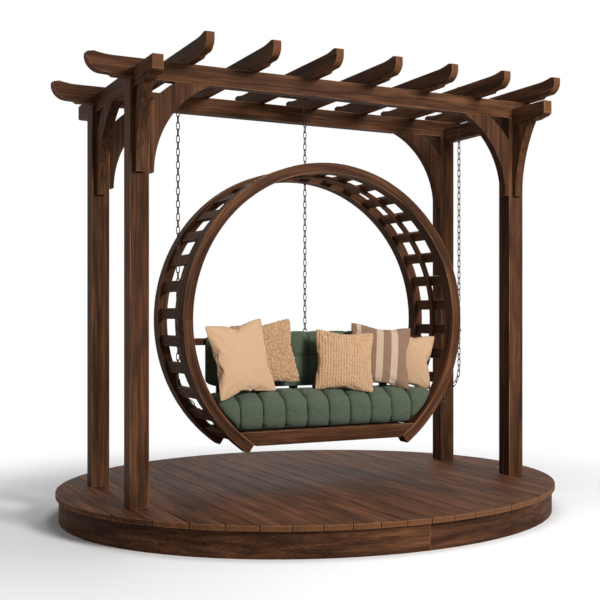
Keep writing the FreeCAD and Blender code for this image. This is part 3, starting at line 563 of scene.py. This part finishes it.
zinc = iron("zinc_plate", dark=(0.36, 0.36, 0.37), rust=(0.52, 0.52, 0.53), metal=0.95)
bm = bmesh.new()
for points in pieces_of("eye_bolt_nuts"):
    low = Vector(points.min(0))
    high = Vector(points.max(0))
    middle = (low + high) / 2
    height = high.z - low.z
    wide = min(high.x - low.x, high.y - low.y) / 2
    base = Matrix.Translation((middle.x, middle.y, low.z))
    if height < WASHER_BELOW:
        lathe(bm, [(NUT_HOLE, 0), (wide, 0), (wide, height), (NUT_HOLE, height)], base)
    else:
        lathe(bm, [(NUT_HOLE, 0), (wide - NUT_BEVEL, 0), (wide, NUT_BEVEL), (wide, height - NUT_BEVEL),
                   (wide - NUT_BEVEL, height), (NUT_HOLE, height)], base, NUT_SIDES)
new_piece("eye_bolt_nuts_turned", cleaned(bm), zinc, "pergola", ["eye_bolt_nuts"])

# Seat cushion: a deep pad of green outdoor cotton, sewn across into ten rolls and tufted at their
# front edge. The cloth gathers at each channel, and its ends round into the curve of the hoops.
THREAD = 0.0016
BAND_AT_SCALE_ONE = 0.314


def cloth(name, colour, shade, painted_shade_tint=(0.30, 0.27, 0.25), bump=0.0004, nap=None, stripes=None):
    """Woven cover on a UV map in metres: threads, slubs, soft shade in the folds."""
    material = bpy.data.materials.new(name)
    material.use_nodes = True
    tree = material.node_tree
    spread = wired(tree, "ShaderNodeUVMap", uv_map="cloth").outputs[0]

    def threads(direction):
        wave = wired(tree, "ShaderNodeTexWave", {"Vector": spread, "Scale": BAND_AT_SCALE_ONE / THREAD,
                                                 "Distortion": 1.2, "Detail Scale": 2.0},
                     bands_direction=direction)
        return wave.outputs["Fac"]

    def slubs(along, across):
        return stretched_noise(tree, spread, (along, across, 1), 4)

    weave = wired(tree, "ShaderNodeMath", {0: threads("X"), 1: threads("Y")}, operation="ADD")
    mixed = wired(tree, "ShaderNodeMath", {0: slubs(18, 220), 1: slubs(nap, nap) if nap else slubs(220, 18)},
                  operation="ADD")
    tone = wired(tree, "ShaderNodeMapRange", {"Value": mixed.outputs[0], "From Min": 0.7, "From Max": 1.3})
    dyed = wired(tree, "ShaderNodeMix",
                 {"Factor": tone.outputs["Result"], "A": (*shade, 1), "B": (*colour, 1)}, data_type="RGBA")
    top_colour = dyed.outputs["Result"]
    if stripes:
        top_colour = stripes(tree, spread, top_colour)
    # Painted shade: the cover is darkened by a tint where the sewing sinks it, in tufts, among nap loops and
    # beside seams.
    folds = wired(tree, "ShaderNodeAttribute", attribute_name="painted_shade")
    sunk = wired(tree, "ShaderNodeMix", {"Factor": folds.outputs["Fac"], "A": top_colour, "B": (*painted_shade_tint, 1)},
                 data_type="RGBA", blend_type="MULTIPLY")
    raised = wired(tree, "ShaderNodeMath", {0: weave.outputs[0], 1: mixed.outputs[0]}, operation="ADD")
    relief = wired(tree, "ShaderNodeBump", {"Height": raised.outputs[0], "Strength": 0.5, "Distance": bump})
    feed(tree, tree.nodes["Principled BSDF"],
         {"Base Color": sunk.outputs["Result"], "Roughness": 0.88, "Specular IOR Level": 0.2,
          "Sheen Weight": 0.12, "Sheen Roughness": 0.5, "Normal": relief.outputs["Normal"]})
    return material


def power(value, exponent):
    """A power that keeps the value's sign."""
    return math.copysign(abs(value) ** exponent, value)


def fading(distance, reach):
    """1 at no distance, falling at once and steeply."""
    return math.exp(-distance / reach)


def bell(distance, reach):
    """1 at no distance, falling like the side of a bell."""
    return math.exp(-(distance / reach) ** 2)


# How far each mark of the sewing reaches: a channel's crease, the line of painted shade in it,
# the gathers beside it, a level seam's crease, the broad swell of the cloth, and the pucker and rays of a
# tuft.
# PULL_MARKS is how closely the gathers follow each other, in radians a metre.
CREASE_REACH = 0.0055
LINE_REACH = 0.0045
GATHER_REACH = 0.020
LEVEL_REACH = 0.006
SWELL_REACH = 0.03
PUCKER_REACH = 0.024
RAY_REACH = 0.06
PULL_MARKS = 360


def quilted(section, half_width, rolls, along_steps, round_steps, corner_powers, channel_depth, tufts,
            end_power, gather, level_seam=None, rear_fall=0.0):
    """A channelled pad: a rounded section carried along X, drawn in at its sewn channels and tufts."""
    bm = bmesh.new()
    uv = bm.loops.layers.uv.new("cloth")
    painted_shade = bm.verts.layers.float.new("painted_shade")
    pitch = 2 * half_width / rolls
    front_top, front_low, rear = corner_powers
    rings = []
    for i in range(1, along_steps):
        share = -math.cos(math.pi * i / along_steps) * 0.35 + (2 * i / along_steps - 1) * 0.65
        x = half_width * share
        y_front, y_rear, z_low, z_high = section(x)
        open_end = 0.25 + 0.75 * (1 - abs(share) ** end_power) ** (1 / end_power)
        half_y = (y_rear - y_front) / 2 * open_end
        half_z = (z_high - z_low) / 2 * open_end
        middle_y = (y_rear + y_front) / 2
        middle_z = (z_high + z_low) / 2
        channel = round(x / pitch)
        inside = 1.0 if abs(x) < half_width - pitch / 2 else 0.0
        ring = []
        for j in range(round_steps):
            turn = 2 * math.pi * j / round_steps
            cosine = math.cos(turn)
            sine = math.sin(turn)
            sharp = rear if cosine > 0 else (front_top if sine > 0 else front_low)
            y = middle_y + half_y * power(cosine, 2 / sharp)
            z = middle_z + half_z * power(sine, 2 / sharp)
            if cosine > 0 and sine > 0:
                z -= rear_fall * ((y - middle_y) / half_y) ** 2
            shown = clamped(0.55 + 0.9 * max(sine, -cosine)) * inside
            shown *= clamped((0.8 - cosine) / 0.4) * clamped((sine + 1) / 0.3)
            wander = 0.006 * noise_value(channel * 7.7, turn * 1.6, 1.0)
            from_channel = abs(x - channel * pitch - wander)
            swell = 1 - abs(math.sin(math.pi * min(0.5, from_channel / pitch))) ** 0.6
            depth = channel_depth * shown * (0.42 * fading(from_channel, CREASE_REACH) + 0.62 * swell)
            # Painted shade along the channel's crease.
            darkness = 0.8 * bell(from_channel, LINE_REACH) * shown
            if level_seam is not None and cosine < -0.2:
                from_level = abs(z - level_seam - 0.004 * noise_value(x * 9, 4.4, 1.0))
                drawn = 0.42 * fading(from_level, LEVEL_REACH) + 0.5 * fading(from_level, SWELL_REACH)
                depth += channel_depth * drawn
                # Painted shade along the level seam's crease.
                darkness += 0.7 * bell(from_level, LINE_REACH)
            run_round = turn * half_z * 1.25
            wavering = 4.0 * noise_value(run_round * 22, channel * 5.3, 2.0)
            pull_mark = math.sin(run_round * PULL_MARKS + wavering)
            pulled = gather * 0.75 * pull_mark * shown * fading(from_channel, GATHER_REACH)
            depth += pulled * min(1.0, from_channel / 0.004)
            for tuft_turn, tuft_depth in tufts:
                gap = (turn - tuft_turn + math.pi) % (2 * math.pi) - math.pi
                reach = math.hypot(from_channel, gap * half_z)
                pucker = bell(reach, PUCKER_REACH) * inside
                angle = math.atan2(gap * half_z, x - channel * pitch)
                rays = bell(reach, RAY_REACH) * math.sin(angle * 9 + 2.0 * math.sin(x * 40))
                depth += tuft_depth * pucker + gather * rays * min(1.0, reach / 0.02) * inside
                # Painted shade in the tuft's pucker.
                darkness += 0.35 * pucker
            ripple = noise_value(x * 36, j * 0.22, 3.1) * gather * 1.1 * shown
            ripple += noise_value(x * 9, turn * 1.3, 9.7) * gather * 1.4 * shown
            ripple *= 0.4 + 0.6 * bell(from_channel, SWELL_REACH)
            outward = Vector((0, (y - middle_y) / half_y ** 2, (z - middle_z) / half_z ** 2)).normalized()
            vert = bm.verts.new(Vector((x, y, z)) - outward * (depth - ripple))
            vert[painted_shade] = min(1.0, darkness)
            ring.append(vert)
        rings.append(ring)
    girth = 2 * ((y_rear - y_front) + (z_high - z_low))
    for i in range(len(rings) - 1):
        for j in range(round_steps):
            after = (j + 1) % round_steps
            face = bm.faces.new((rings[i][j], rings[i][after], rings[i + 1][after], rings[i + 1][j]))
            for loop, v in zip(face.loops, (j, j + 1, j + 1, j)):
                loop[uv].uv = (loop.vert.co.x, v / round_steps * girth)
    for ring in (rings[0], rings[-1]):
        pole = bm.verts.new(sum((vert.co for vert in ring), Vector()) / round_steps)
        for j in range(round_steps):
            face = bm.faces.new((ring[j], pole, ring[(j + 1) % round_steps]))
            for loop in face.loops:
                loop[uv].uv = (loop.vert.co.y, loop.vert.co.z)
    bmesh.ops.recalc_face_normals(bm, faces=bm.faces)
    return bm


def held_in(bm, node, proud):
    """Draws a cover back towards its node's solid, so that no part stands further out than proud."""
    solid = welded(node)
    bmesh.ops.recalc_face_normals(solid, faces=solid.faces)
    surface = BVHTree.FromBMesh(solid)
    solid.free()
    for vert in bm.verts:
        near, normal, _, gap = surface.find_nearest(vert.co)
        if gap > 1e-6 and (vert.co - near).dot(normal) > 0:
            vert.co = near + (vert.co - near) * (proud * math.tanh(gap / proud) / gap)


green_cotton = cloth("green_cotton_cover", (0.104, 0.134, 0.088), (0.066, 0.089, 0.056))
seat_low, seat_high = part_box("seat_cushion")
HOOP_INSIDE = 0.931
END_FALL = 0.024
THINNEST_END = 0.03
CUSHION_PROUD = 0.006


def seat_section(x):
    """Front, rear, underside and top of the seat cushion at x, its underside in the hoops' curve."""
    fall = END_FALL * (x / seat_high.x) ** 6
    low = max(seat_low.z, hoop_centre[2] - math.sqrt(HOOP_INSIDE ** 2 - x ** 2))
    return seat_low.y, seat_high.y, low, max(seat_high.z - fall, low + THINNEST_END)


bm = quilted(seat_section, seat_high.x, rolls=10, along_steps=380, round_steps=190,
             corner_powers=(2.1, 4.6, 12), channel_depth=0.024,
             tufts=((math.radians(128), 0.009), (math.radians(96), 0.007)), end_power=20, gather=0.0024,
             rear_fall=0.026)
held_in(bm, "seat_cushion", CUSHION_PROUD)
seat_pad = new_piece("seat_cushion_cover", bm, green_cotton, "seat", ["seat_cushion"], 80)

# Back cushion: the same cotton, ten upright rolls with one level row of tufts, flat at its back.
back_low, back_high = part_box("back_cushion")


def back_section(x):
    """Front, rear, underside and top of the back cushion at x."""
    fall = END_FALL * (x / back_high.x) ** 8
    return back_low.y + fall * 0.6, back_high.y, back_low.z + fall, back_high.z - fall


bm = quilted(back_section, back_high.x, rolls=10, along_steps=300, round_steps=170,
             corner_powers=(2.6, 6, 9), channel_depth=0.019, tufts=((math.radians(172), 0.010),),
             end_power=12, gather=0.0018, level_seam=back_low.z + (back_high.z - back_low.z) * 0.56)
held_in(bm, "back_cushion", CUSHION_PROUD)
back_pad = new_piece("back_cushion_cover", bm, green_cotton, "seat", ["back_cushion"], 80)

# Scatter cushions: square covers of two cloths sewn round the rim, plump in the middle, thin and
# creased at their corners. Two plain ones with piped rims, two rough looped ones, one with woven stripes.
CORNERS_APART = 0.15
SIMULATED_FRAMES = 18
PILLOW_PROUD = 0.004


def pillow_frame(node):
    """Centre, half-edge vectors, facing and half thickness of a scatter cushion, from its solid."""
    points = pieces_of(node)[0]
    centre = points.mean(0)
    far = np.argsort(-np.linalg.norm(points - centre, axis=1))
    corners = []
    for index in far:
        if all(np.linalg.norm(points[index] - other) > CORNERS_APART for other in corners):
            corners.append(points[index])
        if len(corners) == 4:
            break
    corners = [Vector(corner) for corner in corners]
    middle = sum(corners, Vector()) / 4
    upper = sorted(corners, key=lambda corner: -corner.z)
    top = sorted(upper[:2], key=lambda corner: corner.x)
    low = sorted(upper[2:], key=lambda corner: corner.x)
    right = (top[1] + low[1] - top[0] - low[0]) / 4
    up = (top[0] + top[1] - low[0] - low[1]) / 4
    facing = right.cross(up).normalized()
    half_thick = max(abs((Vector(point) - middle).dot(facing)) for point in points)
    return middle, right, up, facing, half_thick


def blown_up(side, steps, seed, pressure, give):
    """Two square sheets sewn at the rim and blown up as cloth, over the same frames in each run."""
    bm = bmesh.new()
    uv = bm.loops.layers.uv.new("cloth")
    rim = bm.verts.layers.float.new("rim")
    half = side / 2
    for facing in (1, -1):
        grid = []
        for i in range(steps + 1):
            row = []
            for j in range(steps + 1):
                u = 2 * i / steps - 1
                v = 2 * j / steps - 1
                blunt = 1 - 0.018 * abs(u * v) ** 9
                inward = min(1 - abs(u), 1 - abs(v))
                lift = 0.012 * min(1.0, inward * 6) * (1 + 0.5 * noise_value(u * 3 + seed, v * 3, facing))
                vert = bm.verts.new((u * half * blunt, -facing * lift, v * half * blunt))
                vert[rim] = 1.0 if inward < 1e-6 else 0.0
                row.append((vert, u, v))
            grid.append(row)
        for i in range(steps):
            for j in range(steps):
                corners = (grid[i][j], grid[i + 1][j], grid[i + 1][j + 1], grid[i][j + 1])[::facing]
                face = bm.faces.new([corner[0] for corner in corners])
                for loop, corner in zip(face.loops, corners):
                    loop[uv].uv = ((corner[1] + 1) * half, (corner[2] + 1) * half + (1 - facing))
    bmesh.ops.remove_doubles(bm, verts=bm.verts, dist=1e-6)
    mesh = bpy.data.meshes.new("blown_up")
    bm.to_mesh(mesh)
    bm.free()
    pad = bpy.data.objects.new("blown_up", mesh)
    scene.collection.objects.link(pad)
    cloth_modifier = pad.modifiers.new("cloth", "CLOTH")
    woven = cloth_modifier.settings
    woven.quality = 5
    woven.mass = 0.2
    woven.bending_stiffness = 0.06
    woven.use_pressure = True
    woven.uniform_pressure_force = pressure
    woven.shrink_min = -give
    woven.effector_weights.gravity = 0
    cloth_modifier.collision_settings.use_self_collision = False
    cloth_modifier.point_cache.frame_start = 1
    cloth_modifier.point_cache.frame_end = SIMULATED_FRAMES
    for frame_number in range(1, SIMULATED_FRAMES + 1):
        scene.frame_set(frame_number)
    made = evaluated_mesh(pad)
    bpy.data.objects.remove(pad)
    scene.frame_set(1)
    return made


# Rays down to the seat cushion start a little above each low point of a scatter cushion, which then
# rests on the cover with a little play.
seat_surface = BVHTree.FromPolygons([vert.co for vert in seat_pad.data.vertices],
                                    [face.vertices for face in seat_pad.data.polygons])
RAY_LIFT = 0.05
PLAY = 0.0008
LOW_PART = 0.12


def height_above_seat(bm):
    """How far a cushion must come down to rest on the seat cushion's cover, less a little play."""
    lowest = min(vert.co.z for vert in bm.verts)
    falls = []
    for vert in bm.verts:
        if vert.co.z < lowest + LOW_PART:
            fall = seat_surface.ray_cast(vert.co + Vector((0, 0, RAY_LIFT)), Vector((0, 0, -1)))[3]
            if fall is not None:
                falls.append(fall - RAY_LIFT)
    return min(falls) - PLAY


def loops_at(at, along, ribs):
    """How high the looped nap stands at a place, as a share of it, in ribs where their width is given."""
    if not ribs:
        return abs(noise.noise(at * 68)) * 1.7
    wiggle = 0.0050 * noise_value(along * 16, at.z * 36, 3.0)
    lift = 0.62 * abs(math.sin(math.pi * (along + wiggle) / ribs))
    return lift + 0.9 * abs(noise.noise(Vector((at.x * 55, at.y * 55, at.z * 85))))


def scatter(node, cover, pad, turned=1, seam=0.0, nap=0.0, ribs=0.0):
    """A blown-up pad set in the space of a node's solid, subdivided and given its seam or looped nap."""
    middle, right, up, facing, half_thick = pillow_frame(node)
    room = max(seam, nap)
    inside = 1 - room / right.length
    mesh = pad.copy()
    places = np.empty(len(mesh.vertices) * 3)
    mesh.vertices.foreach_get("co", places)
    places = places.reshape(-1, 3)
    across, deep, rise = (places / np.abs(places).max(0)).T
    if turned == 2:
        across, rise = -across, -rise
    if turned == 3:
        across, rise = rise, -across
    set_out = np.array(middle) + np.outer(across * inside, right) + np.outer(rise * inside, up)
    set_out += np.outer(-deep * (half_thick - room), facing)
    mesh.vertices.foreach_set("co", set_out.ravel())
    rough = bpy.data.objects.new(node + "_rough", mesh)
    scene.collection.objects.link(rough)
    smoother = rough.modifiers.new("smooth", "SUBSURF")
    smoother.levels = 2
    smoother.render_levels = 2
    fine = evaluated_mesh(rough)
    bpy.data.objects.remove(rough)
    bm = bmesh.new()
    bm.from_mesh(fine)
    bmesh.ops.recalc_face_normals(bm, faces=bm.faces)
    painted_shade = bm.verts.layers.float.new("painted_shade")
    rim = bm.verts.layers.float["rim"]
    held_in(bm, node, PILLOW_PROUD)
    bm.normal_update()
    normals = [vert.normal.copy() for vert in bm.verts]
    side_way = right.normalized()
    for vert, normal in zip(bm.verts, normals):
        at = vert.co
        if nap:
            lift = loops_at(at, (at - middle).dot(side_way), ribs)
            vert.co = at + normal * (nap * (lift - 0.3))
            # Painted shade among the low loops of the nap.
            vert[painted_shade] = clamped(0.62 - 1.35 * lift)
        else:
            ridge = vert[rim] ** 5
            outward = at - middle
            outward -= facing * outward.dot(facing)
            vert.co = at + outward.normalized() * (seam * ridge)
            # Painted shade in a band just inside the piped rim.
            vert[painted_shade] = 0.5 * max(0.0, 1 - abs(vert[rim] - 0.55) * 3.2)
    bmesh.ops.translate(bm, verts=bm.verts, vec=(0, 0, -height_above_seat(bm)))
    piece = new_piece(node + "_cover", bm, cover, "seat", [node], 180)


COVER_WIDTH = 0.428
BLACK = (0, 0, 0)
WHITE = (1, 1, 1)


def woven_stripes(tree, spread, ground):
    """Two broad cream bands and a narrower one, along the cover's length."""
    split = wired(tree, "ShaderNodeSeparateXYZ", {0: spread})
    scaled = wired(tree, "ShaderNodeMath", {0: split.outputs["X"], 1: 1 / COVER_WIDTH}, operation="MULTIPLY")
    bands = ramped(tree, scaled.outputs[0], ((0.0, BLACK), (0.10, WHITE), (0.17, BLACK), (0.42, WHITE),
                                             (0.53, BLACK), (0.66, WHITE), (0.77, BLACK)), "CONSTANT")
    striped = wired(tree, "ShaderNodeMix", {"Factor": bands, "A": ground, "B": (0.60, 0.44, 0.31, 1)},
                    data_type="RGBA")
    return striped.outputs["Result"]


beige_linen = cloth("beige_linen_cover", (0.70, 0.45, 0.275), (0.60, 0.375, 0.22), painted_shade_tint=(0.5, 0.42, 0.34))
beige_boucle = cloth("beige_boucle_cover", (0.78, 0.50, 0.30), (0.56, 0.335, 0.18), bump=0.0010, nap=130,
                     painted_shade_tint=(0.36, 0.26, 0.17))
brown_stripe = cloth("brown_striped_cover", (0.33, 0.195, 0.13), (0.25, 0.145, 0.095),
                     stripes=woven_stripes, painted_shade_tint=(0.5, 0.42, 0.36))
plain_pad = blown_up(side=0.47, steps=42, seed=1.0, pressure=1.7, give=0.03)
loose_pad = blown_up(side=0.44, steps=42, seed=8.0, pressure=1.6, give=0.022)
looped_pad = blown_up(side=0.43, steps=52, seed=5.0, pressure=1.7, give=0.022)
scatter("pillow_plain_left", beige_linen, plain_pad, seam=0.003)
scatter("pillow_rough_left", beige_boucle, looped_pad, nap=0.0062)
scatter("pillow_rough_middle", beige_boucle, looped_pad, turned=2, nap=0.0058, ribs=0.018)
scatter("pillow_striped", brown_stripe, loose_pad, seam=0.002)
scatter("pillow_plain_right", beige_linen, plain_pad, turned=3, seam=0.003)

low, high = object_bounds()
